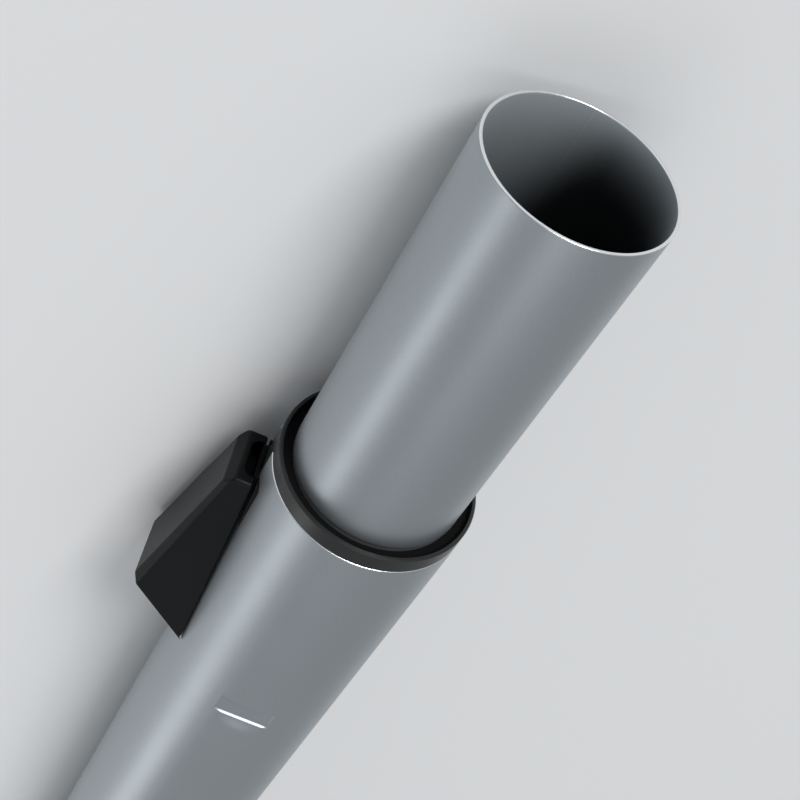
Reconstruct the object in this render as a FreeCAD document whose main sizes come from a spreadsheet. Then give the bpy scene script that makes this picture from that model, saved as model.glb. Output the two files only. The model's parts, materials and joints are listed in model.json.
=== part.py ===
"""Telescopic vacuum wand: two steel tubes, a guide sleeve with its collar, and a sliding lock.

Every piece is drawn in the frame of the lock: x runs along the tubes and is 0 at the outer tube's open end,
with the nozzle end at +x, and z points from the tubes' axis to the release button. The placement then moves
the pieces to the wand's own frame, with its origin at the handle socket's mouth, and rolls them as the wand
lies on a floor, resting on its outer tube with one edge of the button just off the floor.
"""
import FreeCAD, Part
import math
import os
import Sketcher

SIZES = {
    # tubes
    "inner_dia": 34.5,
    "spigot_dia": 35.0,
    "tube_wall": 0.6,
    "end_room": 4.45,
    "stop_gap": 2,
    "spigot_length": 86.5,
    "shoulder_length": 1.0,
    "socket_length": 50,
    "socket_step": 0.25,
    "socket_taper": 3,
    "flare_length": 1.5,
    "flare_step": 0.8,
    # fits
    "running_gap": 0.3,
    "seat_gap": 0.05,
    "cut_margin": 1,
    # notches and guide channel of the inner tube
    "notch_pitch": 30,
    "notch_count": 13,
    "notch_length": 7.2,
    "notch_width": 6.8,
    "notch_depth": 2.25,
    "channel_front": 8,
    "channel_room": 4,
    "channel_width": 7,
    "channel_depth": 0.9,
    # slot and dents of the outer tube
    "lock_slot_room": 2,
    "lock_slot_width": 6.2,
    "dent_station": 62.8,
    "dent_length": 6.2,
    "dent_width": 12.4,
    "dent_depth": 1.1,
    # guide sleeve and its collar
    "sleeve_length": 75,
    "sleeve_wall": 2.3,
    "collar_height": 3.8,
    "collar_inset": 0.1,
    "collar_face": 0.75,
    "collar_bevel": 0.25,
    "recess_depth": 3.0,
    "wiper_height": 1.6,
    "wiper_gap": 0.1,
    "spine_length": 10,
    "spine_inset": 0.25,
    "slot_fit": 0.15,
    "key_front": 12,
    "key_rear": 60,
    # base of the lock
    "base_front": 7.4,
    "base_tail": 10,
    "base_width": 14,
    "base_corner": 1.8,
    "rim_rear": 20,
    "rim_gap": 0.38,
    "plate_rise": 0.8,
    "foot_front": 11,
    "foot_width": 7.6,
    "foot_height": 0.75,
    "rail_width": 8.6,
    "rail_lip": 1.0,
    "rail_front": 11,
    "stop_wall": 1.5,
    "stop_rise": 7,
    # release button
    "button_front": 7.4,
    "button_rear": 61.6,
    "button_wall": 1.4,
    "button_travel": 5.5,
    "front_width": 13.6,
    "rear_width": 19.5,
    "top_front_width": 11.8,
    "top_rear_width": 14.8,
    "top_front_rise": 5.5,
    "top_rear_rise": 15.45,
    "side_front_rise": 4.55,
    "side_rear_rise": 14,
    "skirt_front_rise": 0.4,
    "skirt_rear_drop": 2.15,
    "rear_lean": 0.89,
    "bevel_length": 2.45,
    "bevel_drop": 1.45,
    "corner_round": 1.0,
    "mouth_width": 9.2,
    "mouth_rise": 3.1,
    "mouth_corner": 1.2,
    "web_rise": 1.2,
    "web_ahead": 4.5,
    "web_behind": 11,
    "web_depth": 1.8,
    "toe_reach": 1.0,
    "toe_height": 0.6,
    # bolt, pin and spring
    "bolt_station": 26,
    "bolt_length": 6,
    "bolt_width": 5,
    "bolt_lift": 2.3,
    "bolt_crown": 1.5,
    "nose_bevel": 1.0,
    "pin_dia": 2.5,
    "pin_length": 11.8,
    "pin_rise": 3.5,
    "spring_length": 9,
    "spring_rise": 4,
    "spring_dia": 4.8,
    "spring_turns": 4,
    "wire_dia": 0.45,
    # bush and seal on the inner tube's hidden end
    "bush_length": 9,
    "nub_dia": 3,
    "seal_width": 3,
    "seal_depth": 1.2,
    "seal_gap": 0.1,
    "seal_lip": 1.0,
    # how the wand lies
    "floor_gap": 1.3,
}

doc = FreeCAD.newDocument("vacuum_wand")
dims = doc.addObject("Spreadsheet::Sheet", "dims")
for row, (name, size) in enumerate(SIZES.items(), start=1):
    dims.set(f"A{row}", name)
    dims.set(f"B{row}", str(size))
    dims.setAlias(f"B{row}", name)
doc.recompute()

# Radii of the nested tubes, from the inside out
INNER_R = "(dims.inner_dia / 2)"
SPIGOT_R = "(dims.spigot_dia / 2)"
SLEEVE_BORE_R = f"({INNER_R} + dims.running_gap)"
SLEEVE_R = f"({SLEEVE_BORE_R} + dims.sleeve_wall)"
TUBE_BORE_R = f"({SLEEVE_R} + dims.seat_gap)"
TUBE_R = f"({TUBE_BORE_R} + dims.tube_wall)"
COLLAR_R = f"({TUBE_R} - dims.collar_inset)"
RECESS_R = f"({COLLAR_R} - dims.collar_face)"

# Places along the tubes that several pieces share
TRAVEL = "(dims.notch_pitch * (dims.notch_count - 1))"
BUSH_STOP = f"(dims.sleeve_length + dims.stop_gap + {TRAVEL})"
INNER_OVERLAP = f"({BUSH_STOP} + dims.bush_length + dims.seat_gap + dims.flare_length)"
OUTER_LENGTH = f"({INNER_OVERLAP} + dims.end_room + dims.socket_taper + dims.socket_length)"
BASE_REAR = "(dims.bolt_station + dims.base_tail)"
SPRING_REAR = f"({BASE_REAR} + dims.spring_length)"
WEB_FRONT = "(dims.bolt_station - dims.web_ahead)"
WEB_REAR = "(dims.bolt_station + dims.web_behind)"
COLLAR_TOP = "(dims.seat_gap + dims.collar_height)"
RECESS_FLOOR = f"({COLLAR_TOP} - dims.recess_depth)"
BOLT_FRONT = "(-dims.bolt_station + dims.bolt_length / 2)"
BOLT_REAR = "(-dims.bolt_station - dims.bolt_length / 2)"
WINDOW_FRONT = f"({BOLT_FRONT} + dims.running_gap)"
WINDOW_REAR = f"({BOLT_REAR} - dims.running_gap)"
BUSH_FRONT = f"(-{BUSH_STOP})"
BUSH_REAR = f"({BUSH_FRONT} - dims.bush_length)"
NUB_PLACE = f"({BUSH_FRONT} - dims.nub_dia)"
SEAL_REAR = f"({BUSH_REAR} + dims.nub_dia / 2)"
SEAL_FLOOR_R = f"({TUBE_BORE_R} - dims.running_gap - dims.seal_depth)"

# Heights in the lock, from the tubes' axis
FOOT_TOP = f"(sqrt({TUBE_BORE_R}^2 - dims.foot_width^2 / 4) - dims.running_gap / 2)"
FOOT_FLOOR = f"({FOOT_TOP} - dims.foot_height)"
PLATE_TOP = f"({TUBE_R} + dims.plate_rise)"
WEB_BOTTOM = f"({TUBE_R} + dims.web_rise)"
TOE_TOP = f"({WEB_BOTTOM} + dims.toe_height)"
LIP_BOTTOM = f"({TOE_TOP} + dims.running_gap)"
RAIL_TOP = f"({LIP_BOTTOM} + dims.rail_lip)"
PIN_HEIGHT = f"({TUBE_R} + dims.pin_rise)"
SPRING_HEIGHT = f"({TUBE_R} + dims.spring_rise)"
WEB_INNER = "(dims.rail_width / 2 + dims.running_gap)"


def value(expression):
    """The number that an expression on the sheet has now."""
    return float(dims.evalExpression(expression))


def new_body(label):
    """An empty body for one piece."""
    body = doc.addObject("PartDesign::Body", label)
    body.Label = label
    return body


def origin_feature(body, role):
    """The body's own plane or axis with that role."""
    return next(item for item in body.Origin.OriginFeatures if item.Role == role)


def new_sketch(body, name, plane, offset="0"):
    """A sketch on one of the body's planes, moved along the plane's normal by the offset."""
    sketch = body.newObject("Sketcher::SketchObject", f"{body.Label}_{name}")
    sketch.AttachmentSupport = [(origin_feature(body, plane), "")]
    sketch.MapMode = "FlatFace"
    sketch.setExpression("AttachmentOffset.Base.z", offset)
    return sketch


def place_point(sketch, geometry, end, x, y):
    """Bind one end of a sketch element to two expressions, measured from the sketch's origin."""
    for kind, axis, expression in (("DistanceX", -2, x), ("DistanceY", -1, y)):
        if expression == "0":
            sketch.addConstraint(Sketcher.Constraint("PointOnObject", geometry, end, axis))
            continue
        constraint = Sketcher.Constraint(kind, -1, 1, geometry, end, value(expression))
        index = sketch.addConstraint(constraint)
        sketch.setExpression(f"Constraints[{index}]", expression)


def draw_outline(sketch, points):
    """A closed outline of straight lines through points whose coordinates are expressions."""
    corners = [FreeCAD.Vector(value(x), value(y), 0) for x, y in points]
    first = sketch.GeometryCount
    count = len(corners)
    for place, corner in enumerate(corners):
        sketch.addGeometry(Part.LineSegment(corner, corners[(place + 1) % count]), False)
    for place in range(count):
        after = first + (place + 1) % count
        sketch.addConstraint(Sketcher.Constraint("Coincident", first + place, 2, after, 1))
    for place, (x, y) in enumerate(points):
        place_point(sketch, first + place, 1, x, y)


def draw_box(sketch, left, right, bottom, top):
    """A rectangle between four expressions."""
    draw_outline(sketch, [(left, bottom), (right, bottom), (right, top), (left, top)])


def draw_circle(sketch, x, y, radius):
    """A circle whose centre and radius are expressions."""
    centre = FreeCAD.Vector(value(x), value(y), 0)
    normal = FreeCAD.Vector(0, 0, 1)
    circle = sketch.addGeometry(Part.Circle(centre, normal, value(radius)), False)
    place_point(sketch, circle, 3, x, y)
    index = sketch.addConstraint(Sketcher.Constraint("Radius", circle, value(radius)))
    sketch.setExpression(f"Constraints[{index}]", radius)


def revolve(body, name, points):
    """Turn an outline of (x, radius) points round the tubes' axis."""
    sketch = new_sketch(body, f"{name}_profile", "XZ_Plane")
    draw_outline(sketch, points)
    turned = body.newObject("PartDesign::Revolution", f"{body.Label}_{name}")
    turned.Profile = sketch
    turned.ReferenceAxis = (origin_feature(body, "X_Axis"), [""])
    turned.Angle = 360
    return turned


def extrude(kind, sketch, length, side="One side", backward=False):
    """Pad or pocket a sketch of a body by a length."""
    body = sketch.getParentGeoFeatureGroup()
    made = body.newObject(f"PartDesign::{kind}", f"{sketch.Name}_{kind.lower()}")
    made.Profile = sketch
    made.setExpression("Length", length)
    made.SideType = side
    made.Reversed = backward
    return made


def block(body, name, left, right, bottom, top, width):
    """Add a block seen from the side, centred on the lock's middle plane."""
    sketch = new_sketch(body, name, "XZ_Plane")
    draw_box(sketch, left, right, bottom, top)
    return extrude("Pad", sketch, width, "Symmetric")


def cut_block(body, name, left, right, bottom, top, width):
    """Cut a block seen from the side, centred on the lock's middle plane."""
    sketch = new_sketch(body, name, "XZ_Plane")
    draw_box(sketch, left, right, bottom, top)
    return extrude("Pocket", sketch, width, "Symmetric")


def cut_side_outline(body, name, points, width):
    """Cut an outline seen from the side, centred on the lock's middle plane."""
    sketch = new_sketch(body, name, "XZ_Plane")
    draw_outline(sketch, points)
    return extrude("Pocket", sketch, width, "Symmetric")


def cut_along_tube(body, name, radius):
    """Cut away all that lies within a radius of the tubes' axis."""
    sketch = new_sketch(body, name, "YZ_Plane")
    draw_circle(sketch, "0", "0", radius)
    return extrude("Pocket", sketch, f"4 * {OUTER_LENGTH}", "Symmetric")


def pattern(body, kind, name, originals):
    """Repeat features of a body, as a row or as a mirror image, and make the result the body's tip."""
    repeated = body.newObject(f"PartDesign::{kind}", f"{body.Label}_{name}")
    repeated.Originals = originals
    body.Tip = repeated
    return repeated


def mirror(body, name, originals):
    """Repeat features on the other side of the lock's middle plane."""
    mirrored = pattern(body, "Mirrored", name, originals)
    mirrored.MirrorPlane = (origin_feature(body, "XZ_Plane"), [""])
    return mirrored


def round_edges(body, name, radius, wanted):
    """Round the edges of the body's last feature for which the test holds."""
    doc.recompute()
    base = body.Tip
    names = [f"Edge{place}" for place, edge in enumerate(base.Shape.Edges, start=1) if wanted(edge)]
    rounded = body.newObject("PartDesign::Fillet", f"{body.Label}_{name}")
    rounded.Base = (base, names)
    rounded.setExpression("Radius", radius)
    return rounded


def make_outer_tube():
    """Welded steel tube with a handle socket, a slot under the lock and two dents that hold the sleeve."""
    body = new_body("outer_tube")
    mouth = f"-{OUTER_LENGTH}"
    socket_end = f"-{OUTER_LENGTH} + dims.socket_length"
    taper_end = f"{socket_end} + dims.socket_taper"
    revolve(body, "tube", [
        (mouth, f"{TUBE_BORE_R} + dims.socket_step"),
        (mouth, f"{TUBE_R} + dims.socket_step"),
        (socket_end, f"{TUBE_R} + dims.socket_step"),
        (taper_end, TUBE_R),
        ("0", TUBE_R),
        ("0", TUBE_BORE_R),
        (taper_end, TUBE_BORE_R),
        (socket_end, f"{TUBE_BORE_R} + dims.socket_step"),
    ])
    slot = new_sketch(body, "slot", "XY_Plane")
    half_slot = "dims.lock_slot_width / 2"
    slot_end = f"-{BASE_REAR} - dims.lock_slot_room"
    draw_box(slot, slot_end, "dims.cut_margin", f"-{half_slot}", half_slot)
    extrude("Pocket", slot, f"2 * {TUBE_R}", backward=True)

    # Each dent is pressed in, so the wall bulges inside by as much as it is cut outside
    floor = f"({TUBE_R} - dims.dent_depth)"
    half_length = "dims.dent_length / 2"
    half_width = "dims.dent_width / 2"
    bulge_top = f"(sqrt({TUBE_R}^2 - ({half_width} + dims.tube_wall)^2) - dims.seat_gap)"
    bulge = new_sketch(body, "bulge", "XZ_Plane", f"{floor} - dims.tube_wall")
    draw_box(
        bulge,
        f"-dims.dent_station - {half_length} - dims.tube_wall",
        f"-dims.dent_station + {half_length} + dims.tube_wall",
        f"-{half_width} - dims.tube_wall",
        f"{half_width} + dims.tube_wall",
    )
    bulge_pad = extrude("Pad", bulge, f"{bulge_top} - {floor} + dims.tube_wall")
    dent = new_sketch(body, "dent", "XZ_Plane", f"{TUBE_R} + dims.cut_margin")
    draw_box(
        dent,
        f"-dims.dent_station - {half_length}",
        f"-dims.dent_station + {half_length}",
        f"-{half_width}",
        half_width,
    )
    dent_pocket = extrude("Pocket", dent, "dims.dent_depth + dims.cut_margin")
    mirror(body, "far_dent", [bulge_pad, dent_pocket])
    return body


def make_inner_tube():
    """Thinner steel tube with a plain nozzle end, a row of lock notches and a guide channel."""
    body = new_body("inner_tube")
    rear = f"-{INNER_OVERLAP}"
    flare = f"-{INNER_OVERLAP} + dims.flare_length"
    shoulder = f"{COLLAR_TOP} + dims.seat_gap"
    neck = f"{shoulder} - dims.shoulder_length"
    mouth = "dims.spigot_length"
    revolve(body, "tube", [
        (rear, f"{INNER_R} + dims.flare_step"),
        (flare, INNER_R),
        (neck, INNER_R),
        (shoulder, SPIGOT_R),
        (mouth, SPIGOT_R),
        (mouth, f"{SPIGOT_R} - dims.tube_wall"),
        (shoulder, f"{SPIGOT_R} - dims.tube_wall"),
        (neck, f"{INNER_R} - dims.tube_wall"),
        (flare, f"{INNER_R} - dims.tube_wall"),
        (rear, f"{INNER_R} + dims.flare_step - dims.tube_wall"),
    ])

    # The guide channel is pressed in along the side away from the lock
    channel_rear = f"-dims.key_rear - {TRAVEL} - dims.channel_room"
    channel_floor = f"({INNER_R} - dims.channel_depth)"
    bulge_edge = f"sqrt({INNER_R}^2 - (dims.channel_width / 2 + dims.tube_wall)^2)"
    block(
        body,
        "channel_bulge",
        f"{channel_rear} - dims.tube_wall",
        "-dims.channel_front + dims.tube_wall",
        f"-{bulge_edge} + dims.seat_gap",
        f"-{channel_floor} + dims.tube_wall",
        "dims.channel_width + 2 * dims.tube_wall",
    )
    cut_block(
        body,
        "channel",
        channel_rear,
        "-dims.channel_front",
        f"-{INNER_R} - dims.cut_margin",
        f"-{channel_floor}",
        "dims.channel_width",
    )

    # The row of lock notches starts under the bolt and runs to the hidden end
    notch_floor = f"({INNER_R} - dims.notch_depth)"
    bulge_top = f"(sqrt({INNER_R}^2 - (dims.notch_width / 2 + dims.tube_wall)^2) - dims.seat_gap)"
    front = "-dims.bolt_station + dims.notch_length / 2"
    rear = "-dims.bolt_station - dims.notch_length / 2"
    bulge = block(
        body,
        "notch_bulge",
        f"{rear} - dims.tube_wall",
        f"{front} + dims.tube_wall",
        f"{notch_floor} - dims.tube_wall",
        bulge_top,
        "dims.notch_width + 2 * dims.tube_wall",
    )
    notch = cut_block(
        body,
        "notch",
        rear,
        front,
        notch_floor,
        f"{INNER_R} + dims.cut_margin",
        "dims.notch_width",
    )
    row = pattern(body, "LinearPattern", "notch_row", [bulge, notch])
    row.Direction = (origin_feature(body, "X_Axis"), [""])
    row.Reversed = True
    row.setExpression("Length", TRAVEL)
    row.setExpression("Occurrences", "dims.notch_count")

    holes = new_sketch(body, "nub_holes", "XZ_Plane")
    draw_circle(holes, NUB_PLACE, "0", "dims.nub_dia / 2 + dims.seat_gap")
    extrude("Pocket", holes, f"4 * {INNER_R}", "Symmetric")
    return body


def make_guide_sleeve():
    """Moulded bush in the outer tube's end, with the collar, the spine in the slot and a guide key."""
    body = new_body("guide_sleeve")
    rear = "-dims.sleeve_length"
    revolve(body, "bush", [
        (rear, SLEEVE_BORE_R),
        (rear, SLEEVE_R),
        ("dims.seat_gap", SLEEVE_R),
        ("dims.seat_gap", COLLAR_R),
        (f"{COLLAR_TOP} - dims.collar_bevel", COLLAR_R),
        (COLLAR_TOP, f"{COLLAR_R} - dims.collar_bevel"),
        (COLLAR_TOP, RECESS_R),
        (RECESS_FLOOR, RECESS_R),
        (RECESS_FLOOR, SLEEVE_BORE_R),
    ])
    block(
        body,
        "spine",
        "-dims.spine_length",
        f"{RECESS_FLOOR} / 2",
        f"{SLEEVE_R} - dims.sleeve_wall / 2",
        f"{TUBE_R} - dims.spine_inset",
        "dims.lock_slot_width - 2 * dims.slot_fit",
    )
    cut_block(
        body,
        "foot_recess",
        f"-{BASE_REAR} - dims.slot_fit",
        "-dims.foot_front + dims.slot_fit",
        f"{FOOT_FLOOR} - dims.seat_gap",
        f"{TUBE_R} + dims.cut_margin",
        "dims.foot_width + 2 * dims.slot_fit",
    )
    cut_block(
        body,
        "bolt_window",
        WINDOW_REAR,
        WINDOW_FRONT,
        "0",
        f"{TUBE_R} + dims.cut_margin",
        "dims.bolt_width + 2 * dims.running_gap",
    )
    half_length = "(dims.dent_length / 2 + dims.tube_wall + dims.slot_fit)"
    half_width = "(dims.dent_width / 2 + dims.tube_wall + dims.slot_fit)"
    cut_block(
        body,
        "dent_windows",
        f"-dims.dent_station - {half_length}",
        f"-dims.dent_station + {half_length}",
        f"-{half_width}",
        half_width,
        f"4 * {TUBE_R}",
    )
    block(
        body,
        "key",
        "-dims.key_rear",
        "-dims.key_front",
        f"-{SLEEVE_R} + dims.sleeve_wall / 2",
        f"-{INNER_R} + dims.channel_depth - dims.running_gap",
        "dims.channel_width - 2 * dims.running_gap",
    )
    return body


def make_wiper_ring():
    """Felt ring in the collar's recess, round the inner tube."""
    body = new_body("wiper_ring")
    top = f"{RECESS_FLOOR} + dims.wiper_height"
    revolve(body, "ring", [
        (RECESS_FLOOR, f"{INNER_R} + dims.wiper_gap"),
        (RECESS_FLOOR, f"{RECESS_R} - dims.seat_gap"),
        (top, f"{RECESS_R} - dims.seat_gap"),
        (top, f"{INNER_R} + dims.wiper_gap"),
    ])
    return body


def skirt_height(station):
    """The height of the button's lower edge at a station, which falls from the front to the rear."""
    fall = "(dims.skirt_front_rise + dims.skirt_rear_drop) / (dims.button_rear - dims.button_front)"
    return f"({TUBE_R} + dims.skirt_front_rise - ({station} - dims.button_front) * {fall})"


def make_latch_base():
    """Moulded saddle on the outer tube, with the T-shaped rail that the button slides on."""
    body = new_body("latch_base")

    # The rim follows the button's lower edge and stays clear of it when the button is pushed
    def rim_height(station):
        pushed = skirt_height(f"({station} + dims.button_travel)")
        return f"({pushed} - dims.rim_gap)"

    rim = new_sketch(body, "rim", "XZ_Plane")
    draw_outline(rim, [
        ("-dims.base_front", f"{SLEEVE_R} - dims.foot_height"),
        ("-dims.base_front", rim_height("dims.base_front")),
        ("-dims.rim_rear", rim_height("dims.rim_rear")),
        ("-dims.rim_rear", f"{SLEEVE_R} - dims.foot_height"),
    ])
    extrude("Pad", rim, "dims.base_width", "Symmetric")

    def is_front_corner(edge):
        box = edge.BoundBox
        return box.ZLength > 1 and abs(box.XMin + value("dims.base_front")) < 0.01 and box.XLength < 0.01

    round_edges(body, "front_corners", "dims.base_corner", is_front_corner)
    block(
        body,
        "plate",
        f"-{BASE_REAR}",
        "-dims.base_front",
        f"{SLEEVE_R} - dims.foot_height",
        PLATE_TOP,
        "dims.rail_width",
    )
    cut_along_tube(body, "saddle", f"{TUBE_R} + dims.seat_gap")

    # The foot hooks under the tube's wall on both sides of the slot
    key_width = "dims.lock_slot_width - 2 * dims.slot_fit"
    block(body, "key", f"-{BASE_REAR}", "-dims.foot_front", FOOT_FLOOR, PLATE_TOP, key_width)
    block(body, "foot", f"-{BASE_REAR}", "-dims.foot_front", FOOT_FLOOR, FOOT_TOP, "dims.foot_width")
    stem_width = f"2 * ({WEB_INNER} - dims.toe_reach - dims.running_gap)"
    for part, rear, front in (
        ("front", WINDOW_FRONT, "-dims.rail_front"),
        ("rear", f"-{BASE_REAR}", WINDOW_REAR),
    ):
        block(body, f"{part}_stem", rear, front, f"{TUBE_R} + dims.plate_rise / 2", RAIL_TOP, stem_width)
        block(body, f"{part}_rail", rear, front, LIP_BOTTOM, RAIL_TOP, "dims.rail_width")
    block(
        body,
        "spring_stop",
        f"-{BASE_REAR}",
        f"-{BASE_REAR} + dims.stop_wall",
        f"{RAIL_TOP} - dims.rail_lip / 2",
        f"{TUBE_R} + dims.stop_rise",
        "dims.rail_width",
    )
    cut_block(
        body,
        "bolt_window",
        WINDOW_REAR,
        WINDOW_FRONT,
        "0",
        f"{TUBE_R} + dims.stop_rise",
        "dims.bolt_width + 2 * dims.running_gap",
    )
    return body


def make_release_button():
    """Hollow wedge-shaped button, with slanted slots that lift the bolt's pin."""
    body = new_body("release_button")
    length = "(dims.button_rear - dims.button_front)"

    def between(station, front, rear):
        return f"({front} + ({rear} - {front}) * ({station} - dims.button_front) / {length})"

    def top_height(station):
        return f"({TUBE_R} + {between(station, 'dims.top_front_rise', 'dims.top_rear_rise')})"

    def side_height(station):
        return f"({TUBE_R} + {between(station, 'dims.side_front_rise', 'dims.side_rear_rise')})"

    def rear_face(height):
        return f"(-dims.button_rear + dims.rear_lean * ({height} - {TUBE_R} + dims.skirt_rear_drop))"

    def half_top(station):
        return f"({between(station, 'dims.top_front_width', 'dims.top_rear_width')} / 2)"

    def half_side(station):
        return f"({between(station, 'dims.front_width', 'dims.rear_width')} / 2)"

    # The outside: the plan pulled up, then cut by the roof, the sloped rear and the bevels
    front = "dims.button_front"
    rear = "dims.button_rear"
    ahead = f"({front} - dims.cut_margin)"
    behind = f"({rear} + dims.cut_margin)"
    wide = "2 * dims.rear_width"
    plan = new_sketch(body, "plan", "XY_Plane", f"{INNER_R} / 2")
    draw_outline(plan, [
        (f"-{front}", f"-{half_side(front)}"),
        (f"-{front}", half_side(front)),
        (f"-{rear}", half_side(rear)),
        (f"-{rear}", f"-{half_side(rear)}"),
    ])
    extrude("Pad", plan, f"{top_height(rear)} - {INNER_R} / 2")
    cut_side_outline(body, "roof", [
        (f"-{ahead}", top_height(ahead)),
        (f"-{behind}", top_height(behind)),
        (f"-{ahead}", top_height(behind)),
    ], wide)

    def edge_section(name, station):
        """A triangle over the roof's edge, whose long side is the bevel drawn out to both its ends."""
        sketch = new_sketch(body, name, "YZ_Plane", f"-{station}")
        reach = f"({half_side(station)} - {half_top(station)})"
        rise = f"({top_height(station)} - {side_height(station)})"
        draw_outline(sketch, [
            (f"{half_side(station)} + {reach}", f"{side_height(station)} - {rise}"),
            (f"{half_side(station)} + {reach}", f"{top_height(station)} + {rise}"),
            (f"{half_top(station)} - {reach}", f"{top_height(station)} + {rise}"),
        ])
        return sketch

    edge_bevel = body.newObject("PartDesign::SubtractiveLoft", "button_edge_bevel")
    edge_bevel.Profile = edge_section("edge_front", ahead)
    edge_bevel.Sections = [edge_section("edge_rear", behind)]
    edge_bevel.Ruled = True
    mirror(body, "far_edge_bevel", [edge_bevel])
    above = f"(2 * {top_height(rear)})"
    cut_side_outline(body, "rear_slope", [
        (rear_face(above), above),
        (rear_face("0"), "0"),
        (f"{rear_face('0')} - dims.rear_width", "0"),
        (f"{rear_face('0')} - dims.rear_width", above),
    ], wide)
    bevel_low = f"({top_height(front)} - dims.bevel_drop)"
    bevel_high = top_height(f"({front} + dims.bevel_length)")
    bevel_rise = f"({bevel_high} - {bevel_low})"
    cut_side_outline(body, "front_bevel", [
        (f"-{front} + dims.bevel_length", f"{bevel_low} - {bevel_rise}"),
        (f"-{front} - 2 * dims.bevel_length", f"{bevel_high} + {bevel_rise}"),
        (f"-{front} + dims.bevel_length", f"{bevel_high} + {bevel_rise}"),
    ], wide)
    cut_side_outline(body, "skirt_edge", [
        (f"-{ahead}", skirt_height(ahead)),
        (f"-{behind}", skirt_height(behind)),
        (f"-{behind}", "0"),
        (f"-{ahead}", "0"),
    ], wide)

    def is_front_corner(edge):
        box = edge.BoundBox
        at_front = box.XLength < 0.01 and abs(box.XMax + value(front)) < 0.01
        return at_front and box.ZLength > 1 and box.YLength < 0.1

    round_edges(body, "front_corners", "dims.corner_round", is_front_corner)
    cut_along_tube(body, "tube_clearance", f"{TUBE_R} + dims.running_gap")

    wall = "dims.button_wall"

    def hollow_section(name, station, top, side):
        """A six-sided section across the hollow, inside the button's walls."""
        sketch = new_sketch(body, name, "YZ_Plane", f"-{station}")
        top_half = f"({half_top(station)} - {wall} / 2)"
        side_half = f"({half_side(station)} - {wall})"
        bottom = f"{INNER_R} / 2"
        draw_outline(sketch, [
            (f"-{top_half}", top),
            (f"-{side_half}", side),
            (f"-{side_half}", bottom),
            (side_half, bottom),
            (side_half, side),
            (top_half, top),
        ])
        return sketch

    # The hollow inside, whose roof turns down along the sloped rear
    front_inside = f"({front} + {wall})"
    knee = f"({SPRING_REAR} + {wall})"
    tail = f"({rear} - 3 * {wall})"
    tail_top = f"({TUBE_R} - dims.skirt_rear_drop + 3 * {wall} / dims.rear_lean - 1.5 * {wall})"
    hollow = body.newObject("PartDesign::SubtractiveLoft", "button_hollow")
    hollow.Profile = hollow_section(
        "hollow_front", front_inside,
        f"{top_height(front_inside)} - {wall}", f"{side_height(front_inside)} - {wall} / 2",
    )
    hollow.Sections = [
        hollow_section(
            "hollow_knee", knee,
            f"{top_height(knee)} - {wall}", f"{side_height(knee)} - {wall} / 2",
        ),
        hollow_section("hollow_tail", tail, tail_top, f"{tail_top} - {wall} / 2"),
    ]
    hollow.Ruled = True

    # The opening in the front wall, which lets the rail through
    mouth = new_sketch(body, "mouth", "YZ_Plane", f"-{front} + dims.cut_margin")
    mouth_half = "dims.mouth_width / 2"
    mouth_top = f"({TUBE_R} + dims.mouth_rise)"
    draw_outline(mouth, [
        (f"-{mouth_half}", f"{INNER_R}"),
        (mouth_half, f"{INNER_R}"),
        (mouth_half, f"{mouth_top} - dims.mouth_corner"),
        (f"{mouth_half} - dims.mouth_corner", mouth_top),
        (f"-{mouth_half} + dims.mouth_corner", mouth_top),
        (f"-{mouth_half}", f"{mouth_top} - dims.mouth_corner"),
    ])
    extrude("Pocket", mouth, f"{wall} + 2 * dims.cut_margin")

    # Two webs hang from the roof, with toes that hook under the base's rail
    web = new_sketch(body, "web", "XZ_Plane", WEB_INNER)
    draw_outline(web, [
        (f"-{WEB_FRONT}", WEB_BOTTOM),
        (f"-{WEB_REAR}", WEB_BOTTOM),
        (f"-{WEB_REAR}", f"{top_height(WEB_REAR)} - {wall} / 2"),
        (f"-{WEB_FRONT}", f"{top_height(WEB_FRONT)} - {wall} / 2"),
    ])
    web_pad = extrude("Pad", web, "dims.web_depth")
    toe = new_sketch(body, "toe", "XZ_Plane", f"{WEB_INNER} - dims.toe_reach")
    draw_box(toe, f"-{WEB_REAR}", f"-{WEB_FRONT}", WEB_BOTTOM, TOE_TOP)
    toe_pad = extrude("Pad", toe, "dims.toe_reach + dims.web_depth / 2")
    mirror(body, "far_web", [web_pad, toe_pad])

    # The cross wall that the spring bears on
    seat = new_sketch(body, "spring_seat", "XZ_Plane")
    seat_rear = f"({SPRING_REAR} + {wall})"
    draw_outline(seat, [
        (f"-{SPRING_REAR}", WEB_BOTTOM),
        (f"-{seat_rear}", WEB_BOTTOM),
        (f"-{seat_rear}", f"{top_height(seat_rear)} - {wall} / 2"),
        (f"-{SPRING_REAR}", f"{top_height(SPRING_REAR)} - {wall} / 2"),
    ])
    extrude("Pad", seat, "dims.rail_width", "Symmetric")

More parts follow.
